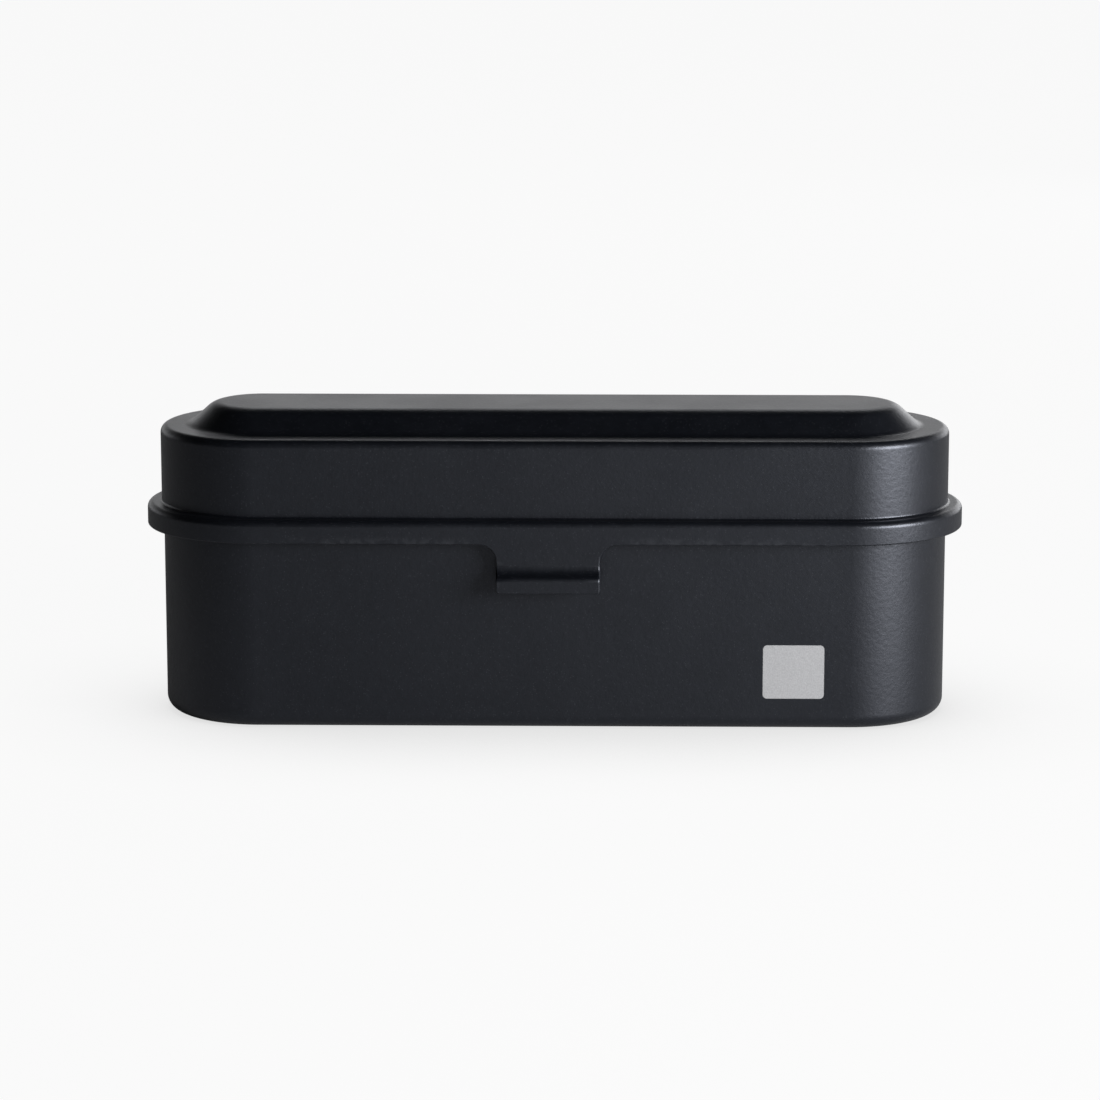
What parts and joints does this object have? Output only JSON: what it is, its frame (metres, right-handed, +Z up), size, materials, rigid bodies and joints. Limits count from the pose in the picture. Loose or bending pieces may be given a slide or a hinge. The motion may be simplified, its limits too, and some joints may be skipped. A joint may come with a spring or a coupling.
{
  "type": "film case",
  "caption": "Drawn-steel film case: a hinged lid with a pull tab over a lift-out tray that stands small film rolls in one row.",
  "frame": {"origin": "middle of the underside, on the surface that the case stands on", "axes": "+X to the viewer's right along the length, +Y to the back where the hinges are, +Z up"},
  "size_m": [0.1554, 0.0488, 0.0594],
  "materials": {
    "coated_steel": "fine matt powder coat, charcoal black",
    "hinge_steel": "powder coated with the case, worn at the knuckles",
    "pin_steel": "plain drawn steel wire",
    "moulded_plastic": "fine moulded grain, black"
  },
  "bodies": {
    "base": {"base_tub": "coated_steel", "left_hinge_base_leaf": "hinge_steel", "left_hinge_pin": "pin_steel", "right_hinge_base_leaf": "hinge_steel", "right_hinge_pin": "pin_steel"},
    "lid": {"lid_shell": "coated_steel", "left_hinge_lid_leaf": "hinge_steel", "right_hinge_lid_leaf": "hinge_steel"},
    "tray": {"film_insert": "moulded_plastic"}
  },
  "joints": [
    {"name": "lid_hinge", "type": "hinge", "parent": "base", "child": "lid", "pos_m": [0, 0.0233, 0.0344], "axis": [-1, 0, 0], "range_deg": [0, 110]},
    {"name": "tray_lift", "type": "slide", "parent": "base", "child": "tray", "axis": [0, 0, 1], "range_m": [0, 0.02]}
  ]
}
